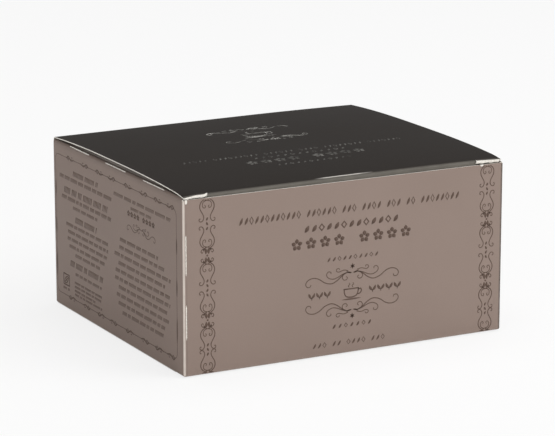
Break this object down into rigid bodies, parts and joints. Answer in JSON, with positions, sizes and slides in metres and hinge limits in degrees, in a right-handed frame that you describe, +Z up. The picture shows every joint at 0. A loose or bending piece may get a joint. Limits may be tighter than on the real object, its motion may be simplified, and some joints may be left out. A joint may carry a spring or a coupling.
{
  "type": "tea box",
  "caption": "Shut rectangular tuck-top paperboard box for wrapped tea bags, with a dark lid bowed slightly upwards and taupe walls printed with plain scroll borders.",
  "frame": {"origin": "centre of the underside of the bottom flap, on the surface the box stands on", "axes": "+Z up; +X along the front wall, to the viewer's right; the front wall with the tuck flap faces -Y"},
  "size_m": [0.162, 0.14, 0.0839],
  "materials": {
    "printed_board": "satin taupe metallic print on coated paperboard",
    "black_board": "satin black print on coated paperboard",
    "raw_board": "matte white board at raw edges, cut scores and worn creases",
    "dark_ink": "matte dark brown ink",
    "silver_ink": "satin silver ink on black"
  },
  "bodies": {
    "root": {"carton": "printed_board"}
  },
  "joints": []
}
